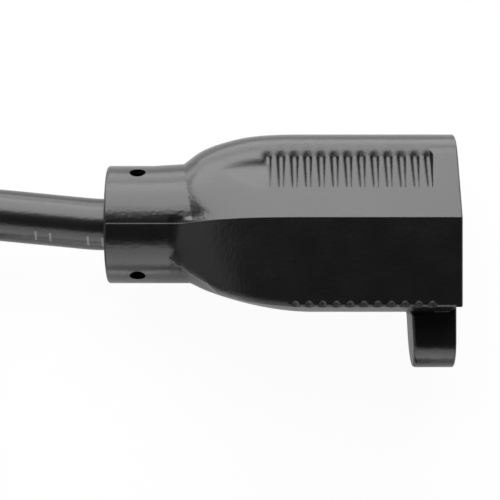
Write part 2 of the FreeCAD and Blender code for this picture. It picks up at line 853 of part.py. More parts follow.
def plug_skin():
    """The plug's moulding: a bevelled shroud, a tapering grip and a ribbed relief."""
    body = new_body("plug_skin", (size("plug_x"), size("plug_y"), PLUG_Z))
    relief = new_sketch(body, "plug_relief", "YZ_Plane")
    circle(relief, "0", "0", size("plug_relief_diameter"))
    extrude(body, "Pad", relief, size("plug_relief_length"))
    rib = new_sketch(body, "plug_rib", "XY_Plane")
    edge = "sizes.plug_relief_diameter / 2"
    rectangle(
        rib,
        size("plug_rib_width"),
        f"({edge} - sizes.plug_rib_depth)",
        "(2 * sizes.plug_rib_width)",
        f"({edge} + sizes.plug_rib_depth)",
    )
    groove = turn(body, "Groove", rib, (plane(body, "X_Axis"), [""]))
    repeat(body, groove, size("plug_rib_count"), size("plug_rib_pitch"))
    block = new_sketch(body, "plug_block", "YZ_Plane", PLUG_BLOCK)
    outline(block, plug_section(size("plug_wall")))
    extrude(body, "Pad", block, "(sizes.plug_carrier_length + sizes.plug_cavity_depth)")
    plug_grip(body)
    front = value(PLUG_LENGTH)
    soften(body, "Fillet", "plug_rim", "plug_edge", lambda edge: spans(edge, front, front))
    mouth = new_sketch(body, "plug_mouth", "YZ_Plane", PLUG_LENGTH)
    outline(mouth, plug_section("0"))
    extrude(body, "Pocket", mouth, "(sizes.plug_carrier_length + sizes.plug_cavity_depth)")
    bore = new_sketch(body, "plug_bore", "YZ_Plane")
    circle(bore, "0", "0", size("cord_diameter"))
    extrude(body, "Pocket", bore, size("plug_cord_grip"), back=True)
    return body


def plug_grip(body):
    """The stretch that tapers from the plug's block to its round relief."""
    front = new_sketch(body, "plug_grip_front", "YZ_Plane", PLUG_BLOCK)
    outline(front, plug_section(size("plug_wall")))
    back = new_sketch(body, "plug_grip_back", "YZ_Plane", size("plug_relief_length"))
    radius = "sizes.plug_relief_diameter / 2"
    angles = (220, 320, 18, 52, 128, 162)
    middles = (270, 349, 35, 90, 145, 191)

    def on_relief(angle):
        turned = math.radians(angle)
        return (f"({math.cos(turned)!r} * {radius})", f"({math.sin(turned)!r} * {radius})")

    outline(back, [(*on_relief(a), on_relief(m)) for a, m in zip(angles, middles)])
    loft = body.newObject("PartDesign::AdditiveLoft", "plug_grip")
    loft.Profile = front
    loft.Sections = [back]
    doc.recompute()


PIN_PLACES = {
    "line": ("(-sizes.pin_spacing / 2)", "(-sizes.pin_earth_offset / 2)"),
    "neutral": ("(sizes.pin_spacing / 2)", "(-sizes.pin_earth_offset / 2)"),
    "earth": ("0", "(sizes.pin_earth_offset / 2)"),
}


def pin_window(body, name, across, up):
    """The rectangle of one pin, in a sketch on the plug carrier's or the pin's own plane."""
    sketch = new_sketch(body, name, "YZ_Plane")
    half = "sizes.pin_thickness / 2"
    tall = "sizes.pin_height / 2"
    return rectangle(
        sketch,
        f"({across} - {half})",
        f"({up} - {tall})",
        f"({across} + {half})",
        f"({up} + {tall})",
    )


def plug_carrier():
    """The block at the foot of the plug's cavity that holds the three pins."""
    body = new_body(
        "plug_carrier", (f"({size('plug_x')} + {PLUG_BLOCK})", size("plug_y"), PLUG_Z)
    )
    block = new_sketch(body, "plug_carrier_block", "YZ_Plane")
    outline(block, plug_section("0"))
    extrude(body, "Pad", block, size("plug_carrier_length"))
    for name, (across, up) in PIN_PLACES.items():
        window = pin_window(body, f"{name}_window", across, up)
        extrude(body, "Pocket", window, size("plug_carrier_length"), back=True)
    return body


def plug_pin(name, across, up):
    """A flat pin with a chamfered point, through the carrier to a crimped barrel."""
    body = new_body(
        f"plug_{name}_pin",
        (
            f"({size('plug_x')} + {PLUG_BLOCK})",
            f"({size('plug_y')} + {across})",
            f"({PLUG_Z} + {up})",
        ),
    )
    blade = pin_window(body, f"{name}_blade", "0", "0")
    extrude(body, "Pad", blade, "(sizes.plug_carrier_length + sizes.pin_length)")
    barrel(body)
    tip = value("(sizes.plug_carrier_length + sizes.pin_length)")
    soften(body, "Chamfer", f"{name}_point", "pin_point", lambda edge: spans(edge, tip, tip))
    return body


def rounded_path(points, first_run=None):
    """Straight runs joined by arcs as large as the runs allow, as one wire. first_run is
    how much of its runs the first arc takes up, if that is less."""
    spots = [Vector(*p) for p in points]
    edges = []
    here = spots[0]
    for before, corner, after in zip(spots, spots[1:], spots[2:]):
        back = (before - corner).normalize()
        ahead = (after - corner).normalize()
        half_turn = (math.pi - back.getAngle(ahead)) / 2
        run = RUN_SHARE * min((before - corner).Length, (after - corner).Length)
        if first_run and not edges:
            run = first_run
        radius = run / math.tan(half_turn)
        print(f"cord bend radius {radius:.1f} mm, turn {math.degrees(2 * half_turn):.1f} degrees")
        start = corner + back * run
        end = corner + ahead * run
        bisector = (back + ahead).normalize()
        middle = corner + bisector * (radius / math.cos(half_turn) - radius)
        edges.append(Part.LineSegment(here, start).toShape())
        edges.append(Part.Arc(start, middle, end).toShape())
        here = end
    edges.append(Part.LineSegment(here, spots[-1]).toShape())
    return Part.Wire(edges)


def cord_tube(name, points, first_run=None):
    """A tube of the cord's diameter along a route."""
    path = rounded_path(points, first_run)
    radius = value("sizes.cord_diameter / 2")
    start = Vector(*points[0])
    heading = Vector(*points[1]) - start
    ring = Part.Wire([Part.makeCircle(radius, start, heading)])
    tube = doc.addObject("Part::Feature", name)
    tube.Shape = path.makePipeShell([ring], True, False)
    tube.Label = name
    tube.Placement = Placement()
    ideal = math.pi * radius**2 * path.Length
    print(f"{name}: {path.Length:.1f} mm long, volume {tube.Shape.Volume / ideal:.4f} of section x length")
    return tube


def stack_section(grow="0"):
    """The outline round the coil's stacked turns, as (from the coil's axis, up)."""
    radius = f"(sizes.cord_diameter / 2 + {grow})"
    middle = "sizes.coil_diameter / 2"
    low = "(sizes.tie_thickness + sizes.cord_diameter / 2)"
    high = f"({low} + (sizes.coil_layers - 1) * sizes.cord_diameter)"
    return [
        (f"({middle} + {radius})", low),
        (f"({middle} + {radius})", high, (middle, f"({high} + {radius})")),
        (f"({middle} - {radius})", high),
        (f"({middle} - {radius})", low, (middle, f"({low} - {radius})")),
    ]


def coil():
    """The outer shape of the put-away turns."""
    body = new_body("cord_coil", (size("coil_x"), size("coil_y"), "0"))
    sketch = outline(new_sketch(body, "turns", "XZ_Plane"), stack_section())
    turn(body, "Revolution", sketch, (plane(body, "Z_Axis"), [""]))
    return body


def tie():
    """A strap closed round the turns on the far side of the coil."""
    body = new_body("coil_tie", (size("coil_x"), size("coil_y"), "0"))
    body.Placement = Placement(body.Placement.Base, Rotation(Vector(0, 0, 1), 180))
    sketch = new_sketch(body, "strap", "XZ_Plane")
    outline(sketch, stack_section(size("tie_thickness")))
    outline(sketch, stack_section())
    angle = "(sizes.tie_width / (sizes.coil_diameter / 2) * 180 / pi)"
    turn(body, "Revolution", sketch, (plane(body, "Z_Axis"), [""]), angle, both_ways=True)
    return body


def moulded_round(name, skin, inserts):
    """A moulding that has flowed round what it holds."""
    moulding = doc.addObject("Part::Cut", name)
    held = doc.addObject("Part::MultiFuse", name + "_inserts")
    held.Shapes = inserts
    moulding.Base = skin
    moulding.Tool = held
    moulding.Label = name
    doc.recompute()
    return moulding


def connector():
    skin = connector_skin()
    carrier = contact_carrier()
    contacts = {
        "line": blade_contact("line_contact", "(sizes.blade_spacing / 2)"),
        "neutral": blade_contact("neutral_contact", "(-sizes.blade_spacing / 2)"),
        "earth": earth_contact(),
    }
    ends = {
        "line": (BLADE_ROW, "(sizes.blade_spacing / 2)"),
        "neutral": (BLADE_ROW, "(-sizes.blade_spacing / 2)"),
        "earth": (size("earth_height"), "0"),
    }
    origin = (f"({CONNECTOR_X} + sizes.cord_grip)", CONNECTOR_Y, CONNECTOR_Z)
    length = f"({BARREL_BACK} - sizes.cord_grip)"
    wires = [
        wire_tail(f"connector_{name}_wire", origin, lay(angle), ends[name], length)
        for name, angle in (("earth", 0), ("line", 120), ("neutral", 240))
    ]
    moulding = moulded_round("connector_overmould", skin, [*contacts.values(), *wires])
    return [moulding, carrier, *contacts.values(), *wires]


def plug():
    skin = plug_skin()
    carrier = plug_carrier()
    pins = [plug_pin(name, *place) for name, place in PIN_PLACES.items()]
    origin = (f"({size('plug_x')} + sizes.plug_cord_grip)", size("plug_y"), PLUG_Z)
    length = f"({PLUG_BLOCK} - sizes.barrel_length - sizes.plug_cord_grip)"
    wires = [
        wire_tail(f"plug_{name}_wire", origin, lay(angle), PIN_PLACES[name], length)
        for name, angle in (("earth", 90), ("line", 210), ("neutral", 330))
    ]
    moulding = moulded_round("plug_overmould", skin, [*pins, *wires])
    return [moulding, carrier, *pins, *wires]


def cord():
    """The jacket from its end in the collar to its end in the plug."""
    axis = (value(CONNECTOR_Y), value(CONNECTOR_Z))
    inner_end = (value(f"({CONNECTOR_X} + sizes.cord_grip)"), *axis)
    lead = cord_tube("cord_lead", [inner_end, *LEAD_POINTS], EXIT_RUN)
    plug_axis = (value(size("plug_y")), value(PLUG_Z))
    plug_end = (value(f"({size('plug_x')} + sizes.plug_cord_grip)"), *plug_axis)
    tail = cord_tube("cord_tail", [*TAIL_POINTS, plug_end])
    return [lead, coil(), tail, tie()]


def check_and_write(pieces):
    """Stop if any object failed, then write each piece to a file of its own."""
    doc.recompute()
    failed = [o.Name for o in doc.Objects if {"Invalid", "Error"} & set(o.State)]
    if failed:
        raise RuntimeError(f"these objects failed: {failed}")
    os.makedirs("parts", exist_ok=True)
    for piece in pieces:
        shape = piece.Shape
        if shape.isNull() or not shape.isValid() or len(shape.Solids) != 1:
            raise RuntimeError(f"{piece.Label} is not one valid solid")
        shape.exportStep(f"parts/{piece.Label}.step")
        print(f"{piece.Label}: {shape.Volume / 1000:.3f} cm3, box {shape.BoundBox}")


fill_sheet()
check_and_write([*connector(), *plug(), *cord()])
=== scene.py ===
import math
from typing import NamedTuple

import bmesh
import bpy
from bpy.props import FloatProperty, FloatVectorProperty, IntProperty, PointerProperty
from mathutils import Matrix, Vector


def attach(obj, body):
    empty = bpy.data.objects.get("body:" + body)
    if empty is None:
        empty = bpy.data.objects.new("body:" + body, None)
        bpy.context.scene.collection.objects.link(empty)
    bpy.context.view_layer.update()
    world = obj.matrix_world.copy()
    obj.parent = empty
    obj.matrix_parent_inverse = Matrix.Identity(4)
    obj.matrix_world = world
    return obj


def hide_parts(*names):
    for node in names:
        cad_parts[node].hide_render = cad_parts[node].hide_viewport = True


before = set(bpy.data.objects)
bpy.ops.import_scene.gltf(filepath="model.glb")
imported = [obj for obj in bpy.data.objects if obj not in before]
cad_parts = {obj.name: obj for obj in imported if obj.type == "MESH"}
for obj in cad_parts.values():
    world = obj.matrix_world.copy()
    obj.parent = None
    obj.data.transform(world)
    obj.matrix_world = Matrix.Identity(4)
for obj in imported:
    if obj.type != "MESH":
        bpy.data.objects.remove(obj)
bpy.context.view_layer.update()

bl_info = {
    "name": "Moulded Power Cord",
    "version": (1, 0, 0),
    "blender": (4, 5, 0),
    "location": "View3D > Sidebar > Power Cord",
    "description": "Lays the cord, folds the moulding, adds its seam, finishes every solid",
    "category": "Object",
}

MM = 0.001

# How far the moulding's edges are rounded, everywhere and in the places below, in metres.
EDGE_SOFTNESS = 0.00012
SCOOP_SOFTNESS = 0.0013
GROOVE_SOFTNESS = 0.0005
HEAD_SOFTNESS = 0.0016
ROLL_SOFTNESS = 0.0014
NOTCH_SOFTNESS = 0.00035

# The cord's route, in millimetres: from the end of the jacket in the collar to the coil, and
# from the coil to the end of the jacket in the plug.
LEAD_ROUTE = [
    (-17.1, 4.375, 13.0),
    (-27.4, 4.375, 13.0),
    (-30.6, 4.375, 13.0),
    (-33.8, 4.685, 12.966),
    (-68.0, 8.0, 12.6),
    (-101.9, 9.9, 13.7),
]
TAIL_ROUTE = [
    (-93.8, -82.9, 5.1),
    (-67.0, -75.4, 6.6),
    (-42.0, -70.0, 10.2),
    (-21.0, -70.0, 10.2),
]
COIL_MIDDLE = (-106.0, -37.2)

# The connector's axis, collar and shoulder, in millimetres.
AXIS_ACROSS = 4.375
AXIS_HEIGHT = 13.0
COLLAR_RADIUS = 9.77
COLLAR_START = -28.3
SHOULDER_START = -18.3
SHOULDER_LENGTH = 23.2

# The mould seam, in millimetres: along the collar, then up the crease of the shoulder, where it
# fades out. The crease starts at a share of the shoulder's length, and its end is given from
# the axis.
CREASE_START = 0.1
CREASE_POWER = 3
CREASE_ACROSS = 1.006
CREASE_HEIGHT = 13.0
SEAM_STEPS = 40
SEAM_FADE = 4.0
SEAM_THINNEST = 0.05

# Where edges are rounded more, seen from above: the thumb scoop, the finger grooves and their
# heads, the rolled edge and the notches. Middle and half size, in millimetres.
SCOOP_MIDDLE = (-8.2, 13.0)
SCOOP_REACH = (5.6, 3.6)
GROOVE_MIDDLE = (10.4, 14.5)
GROOVE_REACH = (13.8, 4.0)
HEAD_MIDDLE = (10.4, 16.3)
HEAD_REACH = (13.8, 0.9)
ROLL_MIDDLE = (-7.6, -5.0)
ROLL_REACH = (8.6, 8.5)
# The notch rectangle also bounds the painted shade in the notches.
NOTCH_MIDDLE = (12.7, -9.4)
NOTCH_REACH = (12.4, 1.2)
SOFT_PLACES = [
    (SCOOP_MIDDLE, SCOOP_REACH, SCOOP_SOFTNESS),
    (GROOVE_MIDDLE, GROOVE_REACH, GROOVE_SOFTNESS),
    (HEAD_MIDDLE, HEAD_REACH, HEAD_SOFTNESS),
    (ROLL_MIDDLE, ROLL_REACH, ROLL_SOFTNESS),
    (NOTCH_MIDDLE, NOTCH_REACH, NOTCH_SOFTNESS),
]


class Fold(NamedTuple):
    """A fold where the collar ends and the shoulder begins, in millimetres."""

    side: int  # 1 on the earth side of the axis, and -1 on the lug side
    start: float  # where it would cross the axis
    lean: float  # how far along the axis it moves for each millimetre across
    reach: float  # how far across it leans
    rise: float  # how far the collar flares before it, beside the axis
    edge_rise: float  # how far the collar flares before it, at the outer edge
    slope: float  # how steeply the shoulder leaves it where it is flattest
    flattest: float  # where that is, from 0 above the axis to 1 at the outer edge
    steepening: float  # how much steeper it gets away from there
    fade_start: float  # how far from the axis it begins
    fade_end: float  # how far from the axis it is full
    fade_growth: float  # how much later it is full for each millimetre past it


EARTH_FOLD = Fold(
    side=1,
    start=-14.3,
    lean=-0.17,
    reach=16.0,
    rise=0.14,
    edge_rise=0.3,
    slope=0.355,
    flattest=0.35,
    steepening=0.83,
    fade_start=0.4,
    fade_end=1.3,
    fade_growth=0.8,
)
LUG_FOLD = Fold(
    side=-1,
    start=-22.38,
    lean=0.755,
    reach=9.77,
    rise=0.0,
    edge_rise=0.0,
    slope=0.5,
    flattest=1.0,
    steepening=9.0,
    fade_start=5.4,
    fade_end=7.0,
    fade_growth=0.0,
)

# The flare's length before a fold, how sharply it gathers at the outer edge, how softly the
# slope after a fold runs into the shoulder, how far past a fold its fade still grows, and the
# smallest move that is made.
FLARE_LENGTH = 5.0
FLARE_POWER = 4
FOLD_BLEND = 0.12
FADE_LIMIT = 2.0
LEAST_PRESS = 0.001

# The skin is cut in steps along the axis, from the flare's start to past the fold, and in turns
# round the axis. Only what lies farther than the skin's radius from the axis is cut. Points
# this near to a cut are on it, and points this near to each other are one.
CUT_STEP = 0.2
CUT_END = 5.0
TURN_CUTS = 60
SKIN_RADIUS = 9.0
CUT_TOLERANCE = 0.005
MERGE_DISTANCE = 0.001

# Faces that meet at more than this are shaded apart, in degrees.
FACET_ANGLE = 12.0

# How far a surface is looked for that hides a notch from the light, in metres, how fast the
# notch's reflection is then dimmed as painted shade, and the gloss elsewhere.
NOTCH_DEPTH = 0.0015
NOTCH_SHADE_RATE = 5.0
USUAL_GLOSS = 0.5

# The printed side of the lead, in millimetres: how the lead leans, and where its ticks lie.
LEAD_START = -30.6
LEAD_END = -60.0
LEAD_SLOPE = -0.0969
TICK_ACROSS = -2.85
TICK_LENGTH = 1.4
TICK_WIDTH = 0.36
TICK_PITCH = 8.6
TICK_STEP = 2.4

NODE_FINISHES = {
    "plug_overmould": "black_moulding",
    "contact_carrier": "black_insert",
    "plug_carrier": "black_insert",
    "line_contact": "brass_strip",
    "neutral_contact": "brass_strip",
    "earth_contact": "brass_strip",
    "plug_line_pin": "nickel_plate",
    "plug_neutral_pin": "nickel_plate",
    "plug_earth_pin": "nickel_plate",
    "connector_earth_wire": "green_wire",
    "connector_line_wire": "black_wire",
    "connector_neutral_wire": "white_wire",
    "plug_earth_wire": "green_wire",
    "plug_line_wire": "black_wire",
    "plug_neutral_wire": "white_wire",
    "coil_tie": "strap_weave",
}

WIRE_COLOURS = {
    "green_wire": (0.03, 0.22, 0.06),
    "black_wire": (0.02, 0.02, 0.02),
    "white_wire": (0.78, 0.78, 0.75),
}

# Finishes of plastic, drawn metal and woven strap: the darkest and lightest shares of a colour,
# how far its roughness goes down and up, and how much the strap's ribs count beside its fuzz.
MOTTLED_TINT = (0.8, 1.2)
MOTTLED_GLOSS = (0.05, 0.05)
DRAWN_TINT = (0.88, 1.08)
DRAWN_GLOSS = (0.08, 0.1)
WOVEN_TINT = (0.6, 1.6)
WOVEN_RIBS = 0.6

# The studio, in metres: the camera's place over the floor, what the softboxes face, and the
# place and size of each lamp.
CAMERA_ALONG = -0.0051
CAMERA_ACROSS = 0.000135
LAMP_TARGET = (0.0, 0.0, 0.013)
KEY_PLACE = (-0.1, 0.5, 0.35)
KEY_SIZE = (0.7, 0.75)
FILL_PLACE = (-0.1, -0.6, 0.31)
FILL_SIZE = (0.7, 0.55)
SIDE_PLACE = (-0.5, 0.0, 0.5)
SIDE_SIZE = (0.6, 0.5)
KEY_STRIP_PLACE = (0.0, 0.14, 0.004)
FILL_STRIP_PLACE = (-0.42, -0.14, 0.004)
STRIP_SIZE = (0.8, 0.2)

# How much of its own light the floor shows the camera, and what share of that the part mirrors.
FLOOR_GLOW = 0.95
FLOOR_MIRRORED = 0.3

# The sky, from the horizon at 0 to overhead at 1: where it begins to dim, where it is dim, and
# how dim it gets.
SKY_WHITE_END = 0.05
SKY_DIM_START = 0.5
SKY_DIM = (0.007, 0.007, 0.007, 1.0)
SKY_WHITE = (1.0, 1.0, 1.0, 1.0)


class CordSettings(bpy.types.PropertyGroup):
    """Sizes of the cord and of the coil that it is put away in."""

    diameter: FloatProperty(
        name="Cord diameter", description="Across the jacket", default=0.0086, unit="LENGTH"
    )
    length: FloatProperty(
        name="Cord length", description="From collar to plug", default=0.62, unit="LENGTH"
    )
    coil_diameter: FloatProperty(
        name="Coil diameter",
        description="Across the coil, at the middle of its turns",
        default=0.0946,
        unit="LENGTH",
    )
    coil_start: FloatProperty(
        name="Coil start",
        description="Where the lead joins the coil, from +X",
        default=math.radians(85),
        subtype="ANGLE",
    )
    coil_sweep: FloatProperty(
        name="Coil sweep",
        description="How far the cord goes round the coil",
        default=math.radians(560),
        subtype="ANGLE",
    )
    upper_level: FloatProperty(
        name="Upper turn", description="Height of the upper turn", default=0.0137, unit="LENGTH"
    )
    lower_level: FloatProperty(
        name="Lower turn", description="Height of the lower turn", default=0.0051, unit="LENGTH"
    )
    points_per_turn: IntProperty(
        name="Points per turn", description="Control points in one turn", default=24
    )


class SeamSettings(bpy.types.PropertyGroup):
    """Size of the mould seam."""

    width: FloatProperty(
        name="Seam width", description="Across the seam", default=0.00024, unit="LENGTH"
    )
    end: FloatProperty(
        name="Seam end",
        description="Where the seam fades out, along X",
        default=-0.009,
        unit="LENGTH",
    )


class FinishSettings(bpy.types.PropertyGroup):
    """Colours of the plastics and metals."""

    moulding: FloatVectorProperty(
        name="Moulding",
        description="Black PVC of the connector and the plug",
        default=(0.005, 0.005, 0.0052),
        size=3,
        subtype="COLOR",
    )
    jacket: FloatVectorProperty(
        name="Jacket",
        description="Black PVC of the cord",
        default=(0.006, 0.006, 0.0062),
        size=3,
        subtype="COLOR",
    )
    ticks: FloatVectorProperty(
        name="Ticks",
        description="Plain marks printed along the cord",
        default=(0.14, 0.14, 0.135),
        size=3,
        subtype="COLOR",
    )
    insert: FloatVectorProperty(
        name="Insert",
        description="Plastic that holds the contacts and pins",
        default=(0.028, 0.028, 0.029),
        size=3,
        subtype="COLOR",
    )
    brass: FloatVectorProperty(
        name="Brass", description="Contacts", default=(0.78, 0.58, 0.29), size=3, subtype="COLOR"
    )
    nickel: FloatVectorProperty(
        name="Nickel", description="Plug pins", default=(0.66, 0.63, 0.57), size=3, subtype="COLOR"
    )
    strap: FloatVectorProperty(
        name="Strap", description="Woven tie", default=(0.02, 0.02, 0.021), size=3, subtype="COLOR"
    )


class StageSettings(bpy.types.PropertyGroup):
    """The camera and the studio."""

    camera_height: FloatProperty(
        name="Camera height", description="Above the floor", default=0.2868, unit="LENGTH"
    )
    camera_lens: FloatProperty(
        name="Lens", description="Focal length on a 36 mm sensor", default=118.3, unit="CAMERA"
    )
    key_power: FloatProperty(
        name="Key", description="Softbox on the earth side", default=9.4, unit="POWER"
    )
    fill_power: FloatProperty(
        name="Fill", description="Softbox on the lug side", default=2.7, unit="POWER"
    )
    side_power: FloatProperty(
        name="Side", description="Softbox on the cord's side", default=0.5, unit="POWER"
    )
    strip_power: FloatProperty(
        name="Strips",
        description="Low strips on both sides, that light the edges next to the floor",
        default=1.4,
        unit="POWER",
    )


def settings():
    """The settings that the panel shows."""
    return bpy.context.scene.power_cord


def eased(value, start, end):
    """A smooth step from 0 at the start to 1 at the end."""
    share = min(1.0, max(0.0, (value - start) / (end - start)))
    return share * share * (3 - 2 * share)


def new_material(name, roughness, metallic=0.0):
    """A material with its shader, ready for more nodes."""
    material = bpy.data.materials.new(name)
    material.use_nodes = True
    shader = material.node_tree.nodes["Principled BSDF"]
    shader.inputs["Roughness"].default_value = roughness
    shader.inputs["Metallic"].default_value = metallic
    return material, shader


def add_node(tree, kind, **inputs):
    """A node with some of its inputs set or linked."""
    node = tree.nodes.new(kind)
    for name, value in inputs.items():
        socket = node.inputs[name.replace("_", " ")]
        if isinstance(value, bpy.types.NodeSocket):
            tree.links.new(value, socket)
        else:
            socket.default_value = value
    return node


def noise(tree, scale, detail=2.0, stretch=(1.0, 1.0, 1.0)):
    """Noise on Object coordinates. scale counts features in a metre."""
    place = tree.nodes.new("ShaderNodeTexCoord").outputs["Object"]
    mapping = add_node(tree, "ShaderNodeMapping", Vector=place, Scale=stretch)
    texture = add_node(
        tree,
        "ShaderNodeTexNoise",
        Vector=mapping.outputs["Vector"],
        Scale=scale,
        Detail=detail,
    )
    return texture.outputs["Fac"]


def remap(tree, value, low, high):
    """Stretch a 0 to 1 value to a range."""
    return add_node(
        tree, "ShaderNodeMapRange", Value=value, To_Min=low, To_Max=high
    ).outputs["Result"]


def blend_colours(tree, factor, first, second):
    """The first colour where the factor is 0, and the second where it is 1."""
    mix = tree.nodes.new("ShaderNodeMix")
    mix.data_type = "RGBA"
    tree.links.new(factor, mix.inputs["Factor"])
    for socket, colour in zip(("A", "B"), (first, second)):
        slot = [s for s in mix.inputs if s.name == socket and s.type == "RGBA"][0]
        if isinstance(colour, bpy.types.NodeSocket):
            tree.links.new(colour, slot)
        else:
            slot.default_value = (*colour, 1.0)
    return [s for s in mix.outputs if s.type == "RGBA"][0]


def tinted(tree, pattern, colour, shares):
    """A colour that a pattern takes from a darker to a lighter share of itself."""
    darker, lighter = [tuple(share * channel for channel in colour) for share in shares]
    return blend_colours(tree, pattern, darker, lighter)


def vary_gloss(tree, shader, pattern, roughness, change):
    """Let a pattern take the roughness down and up by a change."""
    gloss = remap(tree, pattern, roughness - change[0], roughness + change[1])
    tree.links.new(gloss, shader.inputs["Roughness"])


def bump(tree, shader, height, distance, normal=None):
    """Raise the surface by a height, on top of another normal where there is one."""
    node = add_node(tree, "ShaderNodeBump", Height=height, Distance=distance)
    if normal:
        tree.links.new(normal, node.inputs["Normal"])
    tree.links.new(node.outputs["Normal"], shader.inputs["Normal"])


def calculate(tree, operation, *values):
    """One step of arithmetic on node values."""
    node = tree.nodes.new("ShaderNodeMath")
    node.operation = operation
    for socket, value in zip(node.inputs, values):
        if isinstance(value, bpy.types.NodeSocket):
            tree.links.new(value, socket)
        else:
            socket.default_value = value
    return node.outputs["Value"]


def place_of(tree):
    """The three Object coordinates, in metres."""
    place = tree.nodes.new("ShaderNodeTexCoord").outputs["Object"]
    return add_node(tree, "ShaderNodeSeparateXYZ", Vector=place).outputs


def near(tree, value, middle, reach):
    """1 where a value is within reach of a middle, and 0 elsewhere. The value is in metres, and
    the other two are in millimetres."""
    return calculate(tree, "COMPARE", value, middle * MM, reach * MM)


def inside(tree, place, middle, reach):
    """1 inside a rectangle seen from above, and 0 elsewhere."""
    along = near(tree, place["X"], middle[0], reach[0])
    across = near(tree, place["Y"], middle[1], reach[1])
    return calculate(tree, "MULTIPLY", along, across)


def softened_edges(tree):
    """A normal that rounds the moulding's edges, and more so in the soft places."""
    place = place_of(tree)
    radius = EDGE_SOFTNESS
    for middle, reach, softness in SOFT_PLACES:
        here = inside(tree, place, middle, reach)
        radius = calculate(tree, "MAXIMUM", calculate(tree, "MULTIPLY", here, softness), radius)
    return add_node(tree, "ShaderNodeBevel", Radius=radius).outputs["Normal"]


def painted_notch_shade(tree):
    """How much the surface mirrors: dimmed as painted shade inside the notches, where nearby
    surfaces close them in, and as usual elsewhere.
    """
    open_sky = add_node(tree, "ShaderNodeAmbientOcclusion", Distance=NOTCH_DEPTH)
    closed = calculate(tree, "SUBTRACT", 1.0, open_sky.outputs["AO"])
    row = inside(tree, place_of(tree), NOTCH_MIDDLE, NOTCH_REACH)
    hidden = calculate(tree, "MULTIPLY", closed, row)
    painted_dimming = calculate(tree, "MULTIPLY", hidden, NOTCH_SHADE_RATE)
    return remap(tree, painted_dimming, USUAL_GLOSS, 0.0)


def moulded_plastic(name, colour, roughness, grain_scale, grain_depth, soft=False):
    """Plastic with the fine grain of an eroded mould and a faintly mottled gloss."""
    material, shader = new_material(name, roughness)
    tree = material.node_tree
    grain = noise(tree, grain_scale)
    cloud = noise(tree, scale=180.0, detail=3.0)
    tint = tinted(tree, cloud, colour, MOTTLED_TINT)
    tree.links.new(tint, shader.inputs["Base Color"])
    vary_gloss(tree, shader, cloud, roughness, MOTTLED_GLOSS)
    normal = None
    if soft:
        normal = softened_edges(tree)
        # Painted shade: the reflection is dimmed inside the notches, where nearby surfaces close
        # them in.
        tree.links.new(painted_notch_shade(tree), shader.inputs["Specular IOR Level"])
    bump(tree, shader, grain, grain_depth, normal)
    return material


def lead_ticks(tree):
    """1 on the plain ticks printed along the lead, in pairs, and 0 elsewhere."""
    place = place_of(tree)
    run = calculate(tree, "SUBTRACT", place["X"], LEAD_START * MM)
    middle = calculate(tree, "MULTIPLY_ADD", run, LEAD_SLOPE, AXIS_ACROSS * MM)
    across = calculate(tree, "SUBTRACT", place["Y"], middle)
    row = near(tree, across, TICK_ACROSS, TICK_LENGTH / 2)
    upper = calculate(tree, "GREATER_THAN", place["Z"], AXIS_HEIGHT * MM)
    on_lead = calculate(tree, "GREATER_THAN", place["X"], LEAD_END * MM)
    repeat = calculate(tree, "PINGPONG", run, TICK_PITCH / 2 * MM)
    pair = near(tree, repeat, TICK_STEP / 2, TICK_WIDTH / 2)
    for part in (row, upper, on_lead):
        pair = calculate(tree, "MULTIPLY", pair, part)
    return pair


def cord_jacket(name, colour, roughness):
    """Extruded jacket: fine grain and a row of plain pale ticks along the lead."""
    material, shader = new_material(name, roughness)
    tree = material.node_tree
    grain = noise(tree, scale=2000.0)
    cloud = noise(tree, scale=160.0, detail=3.0)
    tint = tinted(tree, cloud, colour, MOTTLED_TINT)
    tint = blend_colours(tree, lead_ticks(tree), tint, settings().finish.ticks)
    tree.links.new(tint, shader.inputs["Base Color"])
    vary_gloss(tree, shader, cloud, roughness, MOTTLED_GLOSS)
    bump(tree, shader, grain, distance=0.00003)
    return material


def bright_metal(name, colour, roughness):
    """Pressed metal with fine drawn lines along its length."""
    material, shader = new_material(name, roughness, metallic=1.0)
    tree = material.node_tree
    lines = noise(tree, scale=1500.0, detail=3.0, stretch=(0.08, 1.0, 1.0))
    tint = tinted(tree, lines, colour, DRAWN_TINT)
    tree.links.new(tint, shader.inputs["Base Color"])
    vary_gloss(tree, shader, lines, roughness, DRAWN_GLOSS)
    bump(tree, shader, lines, distance=0.00001)
    return material


def woven_strap(name, colour, roughness):
    """Woven tape: ribs across it and a soft fuzz."""
    material, shader = new_material(name, roughness)
    tree = material.node_tree
    place = tree.nodes.new("ShaderNodeTexCoord").outputs["Object"]
    wave = add_node(tree, "ShaderNodeTexWave", Vector=place, Scale=420.0, Distortion=0.6)
    wave.bands_direction = "Z"
    fuzz = noise(tree, scale=5000.0)
    weave = calculate(tree, "MULTIPLY_ADD", wave.outputs["Fac"], WOVEN_RIBS, fuzz)
    tint = tinted(tree, weave, colour, WOVEN_TINT)
    tree.links.new(tint, shader.inputs["Base Color"])
    bump(tree, shader, weave, distance=0.00015)
    return material


def finish(name):
    """The material of that name, made the first time it is asked for."""
    if name in bpy.data.materials:
        return bpy.data.materials[name]
    colours = settings().finish
    if name == "black_moulding":
        return moulded_plastic(
            name,
            colours.moulding,
            roughness=0.25,
            grain_scale=1700.0,
            grain_depth=0.00004,
            soft=True,
        )
    if name == "black_insert":
        return moulded_plastic(
            name, colours.insert, roughness=0.45, grain_scale=5200.0, grain_depth=0.00002
        )
    if name == "black_jacket":
        return cord_jacket(name, colours.jacket, roughness=0.26)
    if name == "brass_strip":
        return bright_metal(name, colours.brass, roughness=0.28)
    if name == "nickel_plate":
        return bright_metal(name, colours.nickel, roughness=0.24)
    if name == "strap_weave":
        return woven_strap(name, colours.strap, roughness=0.85)
    return moulded_plastic(
        name, WIRE_COLOURS[name], roughness=0.4, grain_scale=4000.0, grain_depth=0.00001
    )


